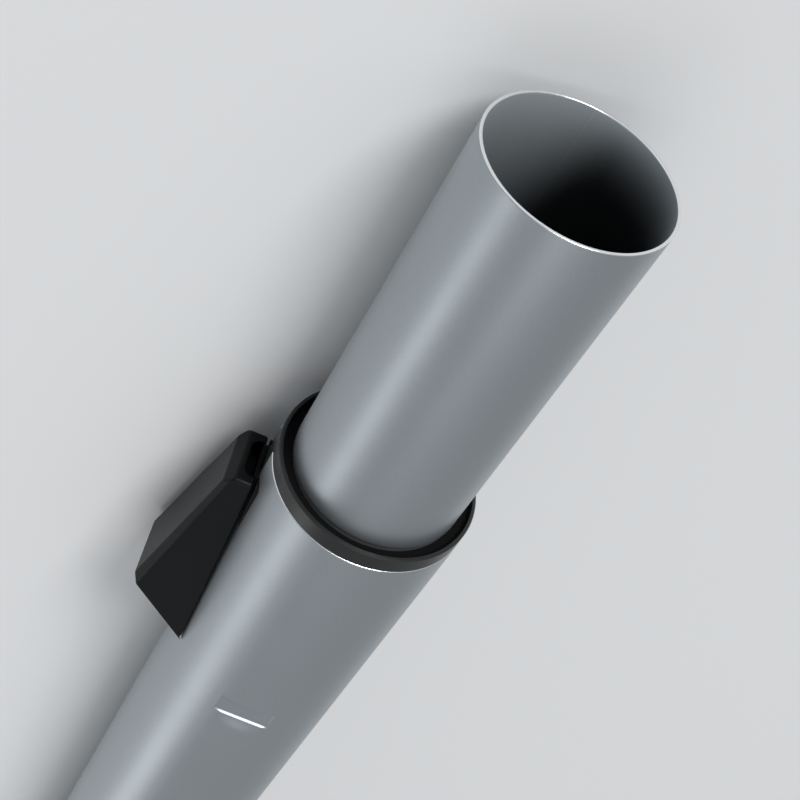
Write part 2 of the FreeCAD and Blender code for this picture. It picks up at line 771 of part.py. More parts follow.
    # The slanted slots: pushing the button forward lifts the pin
    slot_radius = "dims.pin_dia / 2 + dims.running_gap"
    slant = "sqrt(dims.button_travel^2 + dims.bolt_lift^2)"
    along_x = f"({slot_radius}) * dims.bolt_lift / {slant}"
    along_z = f"({slot_radius}) * dims.button_travel / {slant}"
    low_x = "-dims.bolt_station"
    high_x = "-dims.bolt_station - dims.button_travel"
    high_z = f"({PIN_HEIGHT} + dims.bolt_lift)"
    for part, x, z in (("low", low_x, PIN_HEIGHT), ("high", high_x, high_z)):
        end = new_sketch(body, f"slot_{part}_end", "XZ_Plane")
        draw_circle(end, x, z, slot_radius)
        extrude("Pocket", end, "dims.pin_length + 2 * dims.running_gap", "Symmetric")
    cut_side_outline(body, "slot", [
        (f"{low_x} + {along_x}", f"{PIN_HEIGHT} + {along_z}"),
        (f"{high_x} + {along_x}", f"{high_z} + {along_z}"),
        (f"{high_x} - {along_x}", f"{high_z} - {along_z}"),
        (f"{low_x} - {along_x}", f"{PIN_HEIGHT} - {along_z}"),
    ], "dims.pin_length + 2 * dims.running_gap")
    return body


def make_lock_bolt():
    """Block with a bevelled nose, which drops into a notch of the inner tube."""
    body = new_body("lock_bolt")
    nose = f"({INNER_R} - dims.notch_depth + dims.running_gap)"
    crown = f"{PIN_HEIGHT} + dims.bolt_crown"
    side = new_sketch(body, "side", "XZ_Plane")
    draw_outline(side, [
        (BOLT_REAR, f"{nose} + dims.nose_bevel"),
        (f"{BOLT_REAR} + dims.nose_bevel", nose),
        (f"{BOLT_FRONT} - dims.nose_bevel", nose),
        (BOLT_FRONT, f"{nose} + dims.nose_bevel"),
        (BOLT_FRONT, crown),
        (BOLT_REAR, crown),
    ])
    extrude("Pad", side, "dims.bolt_width", "Symmetric")
    hole = new_sketch(body, "pin_hole", "XZ_Plane")
    draw_circle(hole, "-dims.bolt_station", PIN_HEIGHT, "dims.pin_dia / 2 + dims.seat_gap")
    extrude("Pocket", hole, "2 * dims.bolt_width", "Symmetric")
    return body


def make_lock_pin():
    """Steel cross pin through the bolt, whose ends run in the button's slanted slots."""
    body = new_body("lock_pin")
    end = new_sketch(body, "end", "XZ_Plane")
    draw_circle(end, "-dims.bolt_station", PIN_HEIGHT, "dims.pin_dia / 2")
    extrude("Pad", end, "dims.pin_length", "Symmetric")
    return body


def make_return_spring():
    """Coil spring between the base's stop wall and the button's cross wall, its wire drawn with six sides."""
    body = new_body("return_spring")
    wire = new_sketch(body, "wire", "XZ_Plane")
    wire.setExpression("AttachmentOffset.Base.y", SPRING_HEIGHT)
    wire_r = "(dims.wire_dia / 2)"
    front = f"-{BASE_REAR} - {wire_r} - dims.seat_gap"
    draw_outline(wire, [
        (f"{front} + {wire_r} * cos({angle})", f"dims.spring_dia / 2 + {wire_r} * sin({angle})")
        for angle in range(0, 360, 60)
    ])
    coil = body.newObject("PartDesign::AdditiveHelix", "coil")
    coil.Profile = wire
    coil.ReferenceAxis = (wire, ["H_Axis"])
    coil.Mode = "height-turns-angle"
    coil.setExpression("Height", "dims.spring_length - dims.wire_dia - 2 * dims.seat_gap")
    coil.setExpression("Turns", "dims.spring_turns")
    coil.Reversed = True
    return body


def make_end_bush():
    """Moulded bush on the inner tube's hidden end, held by two nubs in the tube's holes."""
    body = new_body("end_bush")
    bore = f"{INNER_R} + dims.seat_gap"
    outside = f"{TUBE_BORE_R} - dims.running_gap"
    revolve(body, "ring", [
        (BUSH_REAR, bore),
        (BUSH_REAR, outside),
        (SEAL_REAR, outside),
        (SEAL_REAR, SEAL_FLOOR_R),
        (f"{SEAL_REAR} + dims.seal_width", SEAL_FLOOR_R),
        (f"{SEAL_REAR} + dims.seal_width", outside),
        (BUSH_FRONT, outside),
        (BUSH_FRONT, bore),
    ])
    nubs = new_sketch(body, "nubs", "XZ_Plane")
    draw_circle(nubs, NUB_PLACE, "0", "dims.nub_dia / 2")
    extrude("Pad", nubs, f"2 * ({bore}) + dims.seal_depth", "Symmetric")
    cut_along_tube(body, "nub_ends", f"{INNER_R} - dims.tube_wall + dims.seat_gap")
    return body


def make_end_seal():
    """Rubber ring in the end bush, with a lip that leans on the outer tube."""
    body = new_body("end_seal")
    rear = f"{SEAL_REAR} + dims.seat_gap"
    front = f"{SEAL_REAR} + dims.seal_width - dims.seat_gap"
    floor = f"{SEAL_FLOOR_R} + dims.seat_gap"
    rib = f"{SEAL_FLOOR_R} + dims.seal_depth / 2"
    tip = f"{TUBE_BORE_R} - dims.seal_gap"
    revolve(body, "ring", [
        (rear, floor),
        (front, floor),
        (front, rib),
        (f"{rear} + dims.seal_lip", rib),
        (rear, tip),
    ])
    return body


PIECES = [
    make_outer_tube(),
    make_inner_tube(),
    make_guide_sleeve(),
    make_wiper_ring(),
    make_latch_base(),
    make_release_button(),
    make_lock_bolt(),
    make_lock_pin(),
    make_return_spring(),
    make_end_bush(),
    make_end_seal(),
]


def resting_roll():
    """How far the wand rolls until the button's highest side edge is just off the floor, in degrees."""
    button = doc.getObject("release_button").Shape
    limit = value("dims.floor_gap") - value(TUBE_R)

    def lowest_after(roll):
        return min(point.z * math.cos(roll) - point.y * math.sin(roll) for point in corners)

    corners = [vertex.Point for vertex in button.Vertexes]
    low, high = math.pi / 2, math.pi
    for _ in range(60):
        middle = (low + high) / 2
        if lowest_after(middle) > limit:
            low = middle
        else:
            high = middle
    return math.degrees(low)


doc.recompute()
roll = FreeCAD.Rotation(FreeCAD.Vector(1, 0, 0), -resting_roll())
for piece in PIECES:
    piece.Placement = FreeCAD.Placement(FreeCAD.Vector(0, 0, 0), roll)
    piece.setExpression("Placement.Base.x", OUTER_LENGTH)
doc.recompute()

for item in doc.Objects:
    if "Invalid" in item.State or "Error" in item.State:
        raise RuntimeError(f"{item.Label} did not build: {item.State}")
for piece in PIECES:
    if piece.Shape.isNull() or not piece.Shape.isValid() or len(piece.Shape.Solids) != 1:
        raise RuntimeError(f"{piece.Label} is not one valid solid")
    before = 0
    for step in piece.Group:
        if not step.isDerivedFrom("PartDesign::Feature"):
            continue
        if step.TypeId in ("PartDesign::Pocket", "PartDesign::SubtractiveLoft"):
            if step.Shape.Volume > before - 1e-3:
                raise RuntimeError(f"{step.Name} cuts nothing")
        before = step.Shape.Volume

os.makedirs("parts", exist_ok=True)
for piece in PIECES:
    piece.Shape.exportStep(f"parts/{piece.Label}.step")
    print(piece.Label, round(piece.Shape.Volume, 1), "mm3")
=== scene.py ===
import bmesh
import bpy
import json
import math
from mathutils import Matrix, Vector


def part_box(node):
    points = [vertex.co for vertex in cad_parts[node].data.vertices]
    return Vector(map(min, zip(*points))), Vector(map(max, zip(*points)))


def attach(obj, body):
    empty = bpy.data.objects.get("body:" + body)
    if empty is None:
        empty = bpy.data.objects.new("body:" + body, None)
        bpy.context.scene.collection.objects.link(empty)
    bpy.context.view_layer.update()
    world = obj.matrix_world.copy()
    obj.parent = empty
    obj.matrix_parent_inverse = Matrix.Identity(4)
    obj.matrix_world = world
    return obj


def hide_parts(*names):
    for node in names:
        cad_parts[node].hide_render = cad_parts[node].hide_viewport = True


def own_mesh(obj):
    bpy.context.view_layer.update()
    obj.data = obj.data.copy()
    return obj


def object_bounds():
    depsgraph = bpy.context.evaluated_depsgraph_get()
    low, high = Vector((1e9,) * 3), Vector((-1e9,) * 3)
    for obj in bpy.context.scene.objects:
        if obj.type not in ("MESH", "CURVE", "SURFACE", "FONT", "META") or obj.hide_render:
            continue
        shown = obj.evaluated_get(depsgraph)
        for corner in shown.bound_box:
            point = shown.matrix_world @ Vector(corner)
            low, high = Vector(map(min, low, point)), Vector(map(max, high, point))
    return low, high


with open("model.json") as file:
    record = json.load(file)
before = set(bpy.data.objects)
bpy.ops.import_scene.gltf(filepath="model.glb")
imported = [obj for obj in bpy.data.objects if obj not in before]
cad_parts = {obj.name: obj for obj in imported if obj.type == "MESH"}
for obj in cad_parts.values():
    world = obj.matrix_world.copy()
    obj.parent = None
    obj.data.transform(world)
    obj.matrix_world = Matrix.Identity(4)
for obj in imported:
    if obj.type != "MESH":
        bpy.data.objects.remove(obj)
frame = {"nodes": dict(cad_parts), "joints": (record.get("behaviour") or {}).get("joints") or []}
cad_low, cad_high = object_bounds()


# The outer tube is welded steel tube of 0.6 mm wall, swaged wider at the handle socket, slotted under the
# latch and pressed in at two places to hold the sleeve. It is sprayed silver, and its cut end stays bright.
# The tubes run along X, and the latch stands on the outer tube's side, where its bolt lifts.
mm = 0.001
tube_axis = Vector((1, 0, 0))
latch_up = Vector(next(joint["axis"] for joint in frame["joints"] if joint["name"] == "bolt_lift"))
latch_side = latch_up.cross(tube_axis)
open_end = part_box("outer_tube")[1].x
tube_wall = 0.6 * mm
burr_round = 0.1 * mm
burr_run = 3 * burr_round
beside_edge = 0.05 * mm
tube_crease = math.radians(50)
paint_skin, cut_skin, inside_skin = range(3)


def around(turn):
    """The direction away from the tubes' axis, turned from the latch by an angle."""
    return latch_up * math.cos(turn) + latch_side * math.sin(turn)


def on_tube(along, turn, radius):
    """A point at a place along the tubes, counted from the outer tube's open end."""
    return tube_axis * (open_end + along) + around(turn) * radius


def ease(value, start, end):
    """Rises smoothly from 0 at start to 1 at end."""
    share = min(max((value - start) / (end - start), 0), 1)
    return share * share * (3 - 2 * share)


def pressed(distance, half_size, flank):
    """How far a pressed recess has reached its floor, at a distance from its middle."""
    return 1 - ease(abs(distance), half_size - flank, half_size)


def spread(start, end, count):
    """Even places from start to end, both included."""
    return [start + (end - start) * place / (count - 1) for place in range(count)]


def smooth_piece(name, build, crease_from):
    """The built mesh as a piece of the scene, shaded smooth up to its creases."""
    mesh = bpy.data.meshes.new(name)
    build.to_mesh(mesh)
    build.free()
    mesh.shade_smooth()
    mesh.set_sharp_from_angle(angle=crease_from)
    piece = bpy.data.objects.new(name, mesh)
    bpy.context.scene.collection.objects.link(piece)
    return piece


def tube_wall_piece(name, rear, front, stations, turns, radius, is_cut_out):
    """A closed tube wall: its outside, its rounded cut ends and its inside, less the cut-out."""
    outside = [rear + burr_round, rear + burr_run, *stations, front - burr_run, front - burr_round]
    rows = [(rear, burr_round)]
    rows += [(along, 0) for along in outside]
    rows += [(front, burr_round), (front, tube_wall - burr_round)]
    rows += [(along, tube_wall) for along in reversed(outside)]
    rows += [(rear, tube_wall - burr_round)]
    build = bmesh.new()
    grid = [[build.verts.new(on_tube(along, turn, radius(along, turn) - depth)) for turn in turns]
            for along, depth in rows]
    row_count = len(rows)
    turn_count = len(turns)

    def is_gap(row, column):
        along = (rows[row][0] + rows[(row + 1) % row_count][0]) / 2
        step = (turns[(column + 1) % turn_count] - turns[column]) % math.tau
        return is_cut_out(along, turns[column] + step / 2)

    def add_face(skin, *corners):
        build.faces.new([grid[row][column] for row, column in corners]).material_index = skin

    for row in range(row_count):
        below = (row + 1) % row_count
        depths = (rows[row][1], rows[below][1])
        skin = cut_skin
        if depths == (0, 0):
            skin = paint_skin
        if depths == (tube_wall, tube_wall):
            skin = inside_skin
        for column in range(turn_count):
            beside = (column + 1) % turn_count
            if not is_gap(row, column):
                add_face(skin, (row, column), (below, column), (below, beside), (row, beside))

    # The cut-out's own edges join the outside to the inside
    for row in range(1, row_count // 2 - 1):
        below = row + 1
        across = row_count - 1 - row
        across_below = row_count - 1 - below
        for column in range(turn_count):
            beside = (column + 1) % turn_count
            if is_gap(row, column) != is_gap(row, column - 1):
                add_face(cut_skin, (row, column), (below, column), (across_below, column), (across, column))
            if is_gap(row, column) and not is_gap(row - 1, column):
                add_face(cut_skin, (row, column), (across, column), (across, beside), (row, beside))
    loose = [corner for corner in build.verts if not corner.link_faces]
    bmesh.ops.delete(build, geom=loose, context="VERTS")
    bmesh.ops.recalc_face_normals(build, faces=build.faces[:])
    return smooth_piece(name, build, tube_crease)


outer_radius = 20.5 * mm
outer_length = open_end
socket_step = 0.25 * mm
socket_length = 50 * mm
socket_taper = 3 * mm
dent_station = -62.8 * mm
dent_half_length = 3.1 * mm
dent_half_width = 6.2 * mm
dent_floor = 19.4 * mm
dent_flank = 0.35 * mm
dent_run_out = 4.0 * mm
dent_step = 0.55 * mm
dent_facing = 0.8
slot_length = 38 * mm
slot_half_width = 3.1 * mm
slot_turn = math.asin(slot_half_width / outer_radius)


def outer_tube_radius(along, turn):
    """The outside of the outer tube, with its swaged socket and its two dents."""
    from_mouth = along + outer_length
    radius = outer_radius + socket_step * (1 - ease(from_mouth, socket_length, socket_length + socket_taper))
    toward_dent = abs(math.sin(turn))
    behind = dent_station - dent_half_length - along
    if toward_dent > dent_facing and abs(along - dent_station) < dent_half_length + dent_run_out:
        depth = max(radius - dent_floor / toward_dent, 0)
        step = min(depth, dent_step) if behind > -dent_flank else depth
        drop = step * pressed(along - dent_station, dent_half_length, dent_flank)
        drop += (depth - step) * (1 - ease(behind, -dent_flank, dent_run_out))
        radius -= drop * pressed(outer_radius * math.cos(turn), dent_half_width, dent_flank)
    return radius


def in_latch_slot(along, turn):
    """Whether a place on the outer tube lies in the slot that runs from its open end."""
    turn = (turn + math.pi) % math.tau - math.pi
    return along > -slot_length and abs(turn) < slot_turn


socket_end = socket_length - outer_length
taper_end = socket_end + socket_taper
dent_rear = dent_station - dent_half_length
dent_front = dent_station + dent_half_length
plain_rear = 60 * mm - outer_length
plain_front = -75 * mm
before_slot = -58 * mm
beside_slot_rear = -30 * mm
beside_slot_front = -4 * mm
outer_stations = [
    socket_end - beside_edge,
    *spread(socket_end, taper_end, 7),
    taper_end + beside_edge,
    *spread(plain_rear, plain_front, 8),
    *spread(dent_rear - dent_run_out, dent_rear - beside_edge, 12),
    *spread(dent_rear, dent_rear + dent_flank + beside_edge, 9),
    *spread(dent_front - dent_flank - beside_edge, dent_front + beside_edge, 9),
    *spread(before_slot, -slot_length, 3),
    *spread(beside_slot_rear, beside_slot_front, 4),
]
dent_end_steps = (-0.4, -0.3, -0.2, -0.1, 0, 0.05)
dent_inner_turn = 0.28
dent_end = [math.asin((dent_half_width + step * mm) / outer_radius) for step in dent_end_steps]
dent_turns = [
    *[-turn for turn in reversed(dent_end)], *spread(-dent_inner_turn, dent_inner_turn, 29), *dent_end]
side_turns = [math.pi / 2 + turn for turn in dent_turns]
beside_slot = math.radians(12)
before_dent = math.radians(68)
after_dent = math.radians(112)
outer_turns = sorted([
    -slot_turn, 0, slot_turn,
    *spread(beside_slot, before_dent, 23),
    *side_turns,
    *spread(after_dent, math.tau - after_dent, 55),
    *[-turn % math.tau for turn in side_turns],
    *spread(math.tau - before_dent, math.tau - beside_slot, 23),
], key=lambda turn: turn % math.tau)
outer_tube = tube_wall_piece(
    "outer_tube_wall", -outer_length, 0, outer_stations, outer_turns, outer_tube_radius, in_latch_slot)
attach(outer_tube, "outer")
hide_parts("outer_tube")


class Finish:
    """A material of this wand, with its shader and the places where its nodes are added."""

    def __init__(self, name, **constants):
        self.material = bpy.data.materials.new(name)
        self.material.use_nodes = True
        self.nodes = self.material.node_tree.nodes
        self.links = self.material.node_tree.links
        self.shader = self.nodes["Principled BSDF"]
        self.set_inputs(self.shader, constants)

    def set_inputs(self, node, constants):
        for socket, constant in constants.items():
            node.inputs[socket.replace("_", " ")].default_value = constant

    def node(self, kind, **constants):
        made = self.nodes.new(kind)
        self.set_inputs(made, constants)
        return made

    def effect(self, group, **constants):
        made = self.nodes.new("ShaderNodeGroup")
        made.node_tree = group
        self.set_inputs(made, constants)
        return made

    def join(self, source, output, target, socket):
        self.links.new(source.outputs[output], target.inputs[socket])

    def relief(self, source, strength, depth):
        bump = self.node("ShaderNodeBump", Strength=strength, Distance=depth)
        self.join(source, "Height", bump, "Height")
        self.join(bump, "Normal", self.shader, "Normal")

    def lay(self, skin, strength, depth):
        """Take the shade, the roughness and the fine relief of an effect."""
        self.join(skin, "Color", self.shader, "Base Color")
        self.join(skin, "Roughness", self.shader, "Roughness")
        self.relief(skin, strength, depth)


class Effect:
    """A node group with named inputs and outputs, worked out in the part's own coordinates."""

    def __init__(self, name, inputs, outputs):
        self.tree = bpy.data.node_groups.new(name, "ShaderNodeTree")
        for label, kind, usual in inputs:
            socket = self.tree.interface.new_socket(label, in_out="INPUT", socket_type=kind)
            socket.default_value = usual
        for label, kind in outputs:
            self.tree.interface.new_socket(label, in_out="OUTPUT", socket_type=kind)
        self.given = self.tree.nodes.new("NodeGroupInput")
        self.wanted = self.tree.nodes.new("NodeGroupOutput")
        self.place = self.tree.nodes.new("ShaderNodeTexCoord").outputs["Object"]

    def join(self, source, target):
        self.tree.links.new(source, target)

    def noise(self, scale, detail, roughness=0.5, stretch=(1, 1, 1)):
        """Uneven patches of a size that is a number, or an input of the group."""
        mapping = self.tree.nodes.new("ShaderNodeMapping")
        mapping.inputs["Scale"].default_value = stretch
        self.join(self.place, mapping.inputs["Vector"])
        noise = self.tree.nodes.new("ShaderNodeTexNoise")
        noise.inputs["Detail"].default_value = detail
        noise.inputs["Roughness"].default_value = roughness
        if isinstance(scale, str):
            self.join(self.given.outputs[scale], noise.inputs["Scale"])
        else:
            noise.inputs["Scale"].default_value = scale
        self.join(mapping.outputs["Vector"], noise.inputs["Vector"])
        return noise.outputs["Fac"]

    def give_color(self, value):
        """The shade between the group's dark and light inputs, by a value from 0 to 1."""
        mix = self.tree.nodes.new("ShaderNodeMix")
        mix.data_type = "RGBA"
        self.join(value, mix.inputs["Factor"])
        self.join(self.given.outputs["Dark"], mix.inputs["A"])
        self.join(self.given.outputs["Light"], mix.inputs["B"])
        self.join(mix.outputs["Result"], self.wanted.inputs["Color"])

    def give_roughness(self, value):
        """The roughness between the group's smoothest and roughest inputs, by a value from 0 to 1."""
        span = self.tree.nodes.new("ShaderNodeMapRange")
        self.join(value, span.inputs["Value"])
        self.join(self.given.outputs["Smoothest"], span.inputs["To Min"])
        self.join(self.given.outputs["Roughest"], span.inputs["To Max"])
        self.join(span.outputs["Result"], self.wanted.inputs["Roughness"])

    def give_height(self, value):
        self.join(value, self.wanted.inputs["Height"])


shades = [("Light", "NodeSocketColor", (1, 1, 1, 1)), ("Dark", "NodeSocketColor", (0, 0, 0, 1))]
sheens = [("Smoothest", "NodeSocketFloat", 0.3), ("Roughest", "NodeSocketFloat", 0.5)]
shade_and_height = [("Color", "NodeSocketColor"), ("Height", "NodeSocketFloat")]
whole_skin = [*shade_and_height, ("Roughness", "NodeSocketFloat")]

# Metal flake: the fine sparkle and faint unevenness of sprayed silver paint
flake = Effect("metal_flake", [*shades, *sheens], whole_skin)
flake.give_color(flake.noise(scale=4200, detail=1.0))
flake.give_roughness(flake.noise(scale=60, detail=3.0))
flake.give_height(flake.noise(scale=900, detail=2.0))

# Draw lines: long faint streaks along the tube, as rolled and drawn steel has them
streaks = Effect("draw_lines", [*shades, *sheens], whole_skin)
lines = streaks.noise(scale=900, detail=4.0, roughness=0.6, stretch=(0.02, 1, 1))
streaks.give_color(lines)
streaks.give_roughness(lines)
streaks.give_height(lines)

silver_paint = Finish("silver_paint", Metallic=0.8)
coat = silver_paint.effect(
    flake.tree, Light=(0.40, 0.435, 0.46, 1), Dark=(0.33, 0.362, 0.386, 1), Smoothest=0.35, Roughest=0.43)
silver_paint.lay(coat, strength=0.08, depth=0.05 * mm)

cut_steel = Finish("cut_steel", Metallic=1.0)
cut = cut_steel.effect(
    streaks.tree, Light=(0.97, 0.98, 0.99, 1), Dark=(0.88, 0.90, 0.91, 1), Smoothest=0.16, Roughest=0.28)
cut_steel.lay(cut, strength=0.1, depth=0.02 * mm)

# Painted light and shade inside each mouth: a light grey near the mouth fades into painted near-black deeper
# in, and reaches further in on the side where the light falls
painted_mouth_light = (0.46, 0.51, 0.54, 1)
painted_light_fade = 3
painted_lit_side = around(math.radians(15))
painted_unlit_edge = -4 * mm
painted_lit_edge = 18 * mm
painted_unlit_reach = 15 * mm
painted_lit_reach = 80 * mm


def tube_inside(name, mouth, inward):
    """Steel inside a tube, painted near-black as shade, with painted light near the mouth that fades inward.
    """
    inside = Finish(name, Metallic=0.3, Specular_IOR_Level=0.2)
    # Painted shade: the steel's near-black colour stands in for the shade deep inside the tube
    steel_painted_dark = inside.effect(
        streaks.tree, Light=(0.01, 0.0115, 0.0125, 1), Dark=(0.007, 0.00805, 0.00875, 1),
        Smoothest=0.4, Roughest=0.54)
    place = inside.node("ShaderNodeTexCoord")
    along = inside.node("ShaderNodeSeparateXYZ")
    inside.join(place, "Object", along, "Vector")
    across = inside.node("ShaderNodeVectorMath")
    across.operation = "DOT_PRODUCT"
    across.inputs[1].default_value = painted_lit_side
    inside.join(place, "Object", across, 0)
    reach = inside.node(
        "ShaderNodeMapRange", From_Min=painted_unlit_edge, From_Max=painted_lit_edge,
        To_Min=mouth + inward * painted_unlit_reach, To_Max=mouth + inward * painted_lit_reach)
    reach.interpolation_type = "SMOOTHSTEP"
    inside.join(across, "Value", reach, "Value")
    share = inside.node("ShaderNodeMapRange", From_Max=mouth)
    inside.join(reach, "Result", share, "From Min")
    inside.join(along, "X", share, "Value")
    painted_light_share = inside.node("ShaderNodeMath")
    painted_light_share.operation = "POWER"
    painted_light_share.inputs[1].default_value = painted_light_fade
    inside.join(share, "Result", painted_light_share, 0)
    # Painted light: the light grey over the mouth's first stretch, longer on the side where the light falls
    painted_light_mix = inside.node("ShaderNodeMix")
    painted_light_mix.data_type = "RGBA"
    painted_light_mix.inputs["B"].default_value = painted_mouth_light
    inside.join(painted_light_share, "Value", painted_light_mix, "Factor")
    inside.join(steel_painted_dark, "Color", painted_light_mix, "A")
    inside.join(painted_light_mix, "Result", inside.shader, "Base Color")
    inside.join(steel_painted_dark, "Roughness", inside.shader, "Roughness")
    inside.relief(steel_painted_dark, strength=0.15, depth=0.03 * mm)
    return inside


# The outer tube's inside gets the same painted light and shade
socket_inside = tube_inside("socket_inside", mouth=0, inward=1)
for finish in (silver_paint, cut_steel, socket_inside):
    outer_tube.data.materials.append(finish.material)


# The guide sleeve is moulded in grey-black nylon and pushed into the outer tube's end. Its flange is the
# collar that shows, and its spine fills the slot in front of the latch.
moulded = Effect("moulded_grain", [*shades, *sheens, ("Grain", "NodeSocketFloat", 2500.0)], whole_skin)
spark = moulded.noise(scale="Grain", detail=3.0, roughness=0.6)
moulded.give_color(moulded.noise(scale=140, detail=2.0))
moulded.give_roughness(spark)
moulded.give_height(spark)


def moulded_plastic(name, light, dark, grain, smoothest, roughest, strength, gloss):
    """A moulded plastic with its own shade, grain and gloss."""
    finish = Finish(name, Specular_IOR_Level=gloss)
    skin = finish.effect(
        moulded.tree, Light=light, Dark=dark, Grain=grain, Smoothest=smoothest, Roughest=roughest)
    finish.lay(skin, strength, depth=0.04 * mm)
    return finish


def dress(node, finish):
    """Give a carried-over solid its finish and smooth shading."""
    piece = frame["nodes"][node]
    piece.data.materials.clear()
    piece.data.materials.append(finish.material)
    piece.data.shade_smooth()


collar_nylon = moulded_plastic(
    "collar_nylon", light=(0.020, 0.022, 0.022, 1), dark=(0.015, 0.017, 0.017, 1), grain=1800.0,
    smoothest=0.28, roughest=0.40, strength=0.08, gloss=0.3)
dress("guide_sleeve", collar_nylon)


# The wiper is a ring of black felt in the collar's recess, which keeps dust out of the sleeve. It is punched
# from sheet and pushed in, and its fibres are short and matted.
felt_fibre = Effect("felt_fibre", shades, shade_and_height)
matted = felt_fibre.noise(scale=3800, detail=6.0, roughness=0.7)
felt_fibre.give_color(matted)
felt_fibre.give_height(matted)
felt = Finish("felt", Roughness=0.95, Specular_IOR_Level=0.1)
fibres = felt.effect(felt_fibre.tree, Light=(0.008, 0.008, 0.008, 1), Dark=(0.003, 0.003, 0.003, 1))
felt.join(fibres, "Color", felt.shader, "Base Color")
felt.relief(fibres, strength=0.6, depth=0.2 * mm)
dress("wiper_ring", felt)


# The inner tube is thinner welded steel, sized wider at its nozzle end. A row of pressed notches takes the
# lock's bolt, and a pressed channel on the other side runs on the sleeve's key.
inner_radius = 17.25 * mm
spigot_radius = 17.5 * mm
mouth_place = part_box("inner_tube")[1].x - open_end
inner_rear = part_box("inner_tube")[0].x - open_end
shoulder_start = 2.9 * mm
shoulder_end = 3.9 * mm
flare_length = 1.5 * mm
flare_step = 0.8 * mm
notch_first = -26 * mm
notch_pitch = 30 * mm
notch_count = 13
notch_half_length = 3.6 * mm
notch_half_width = 3.4 * mm
notch_floor = 15.0 * mm
notch_flank = 0.5 * mm
channel_front = -8 * mm
channel_rear = -424 * mm
channel_half_width = 3.5 * mm
channel_floor = 16.35 * mm
channel_flank = 0.3 * mm
channel_middle = (channel_front + channel_rear) / 2
channel_half_length = (channel_front - channel_rear) / 2
notch_places = [notch_first - notch_pitch * place for place in range(notch_count)]
pressed_facing = 0.5


def inner_tube_radius(along, turn):
    """The outside of the inner tube, with its shoulder, flared end, notches and channel."""
    radius = inner_radius + (spigot_radius - inner_radius) * ease(along, shoulder_start, shoulder_end)
    radius += flare_step * (1 - ease(along, inner_rear, inner_rear + flare_length))
    lateral = inner_radius * math.sin(turn)
    upward = math.cos(turn)
    if upward > pressed_facing:
        nearest = min(notch_places, key=lambda place: abs(place - along))
        share = pressed(along - nearest, notch_half_length, notch_flank)
        share *= pressed(lateral, notch_half_width, notch_flank)
        radius -= share * max(radius - notch_floor / upward, 0)
    if upward < -pressed_facing:
        share = pressed(along - channel_middle, channel_half_length, notch_flank)
        share *= pressed(lateral, channel_half_width, channel_flank)
        radius -= share * max(radius + channel_floor / upward, 0)
    return radius


flare_first = 0.5 * mm
notch_steps = (-3.7, -3.6, -3.45, -3.35, -3.25, -3.1, 0, 3.1, 3.25, 3.35, 3.45, 3.6, 3.7)
channel_end_steps = (-1, 0, 0.12, 0.25, 0.37, 0.5, 1)
nozzle_plain_rear = 10 * mm
nozzle_plain_front = 80 * mm
inner_stations = sorted([
    *spread(inner_rear + flare_first, inner_rear + flare_length, 4),
    inner_rear + flare_length + beside_edge,
    *[place + step * mm for place in notch_places for step in notch_steps],
    *[channel_rear + step * mm for step in channel_end_steps],
    *[channel_front - step * mm for step in channel_end_steps],
    shoulder_start - beside_edge,
    *spread(shoulder_start, shoulder_end, 7),
    shoulder_end + beside_edge,
    *spread(nozzle_plain_rear, nozzle_plain_front, 5),
])
notch_side_steps = (0.8, 1.6, 2.3, 2.9, 3.02, 3.15, 3.28, 3.4, 3.5)
channel_side_steps = (0.8, 1.6, 2.4, 3.0, 3.2, 3.28, 3.35, 3.42, 3.5, 3.6)
notch_turns = [math.asin(step * mm / inner_radius) for step in notch_side_steps]
channel_turns = [math.pi - math.asin(step * mm / inner_radius) for step in channel_side_steps]
beside_pressing = math.radians(14)
half_turns = [
    0,
    *notch_turns,
    *spread(beside_pressing, math.pi - beside_pressing, 61),
    *reversed(channel_turns),
    math.pi,
]
inner_turns = half_turns + [math.tau - turn for turn in reversed(half_turns[1:-1])]
inner_tube = tube_wall_piece(
    "inner_tube_wall", inner_rear, mouth_place, inner_stations, inner_turns, inner_tube_radius,
    lambda along, turn: False)
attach(inner_tube, "inner")
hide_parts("inner_tube")
# The nozzle's inside gets the painted light near the mouth and the painted shade deeper in
nozzle_inside = tube_inside("nozzle_inside", mouth=open_end + mouth_place, inward=-1)
for finish in (silver_paint, cut_steel, nozzle_inside):
    inner_tube.data.materials.append(finish.material)


# The weld runs along the inner tube's inside, where the rolled strip's edges were joined. It is a low bead of
# the tube's own steel, dressed almost flat, with the same painted light and shade as the inside near the
# mouth.
bead_turn = math.radians(91.85)
bead_half_width = 0.4 * mm
bead_height = 0.05 * mm
bead_sink = 0.01 * mm
bead_rear = -430 * mm
bead_short = 0.4 * mm
bead_front = mouth_place - bead_short
bead_section = (-1, -0.6, 0, 0.6, 1)
build = bmesh.new()
rows = []
for along in (bead_rear, shoulder_start, shoulder_end, bead_front):
    surface = inner_tube_radius(along, bead_turn) - tube_wall
    row = []
    for across in bead_section:
        turn = bead_turn + across * bead_half_width / surface
        lift = bead_height * (1 - across * across) - bead_sink
        row.append(build.verts.new(on_tube(along, turn, surface - lift)))
    rows.append(row)
for row, below in zip(rows, rows[1:]):
    for column in range(len(bead_section) - 1):
        build.faces.new((row[column], row[column + 1], below[column + 1], below[column]))
bead = smooth_piece("weld_bead", build, tube_crease)
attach(bead, "inner")
# The bead takes the inside's painted light near the mouth and painted shade deeper in
bead.data.materials.append(nozzle_inside.material)


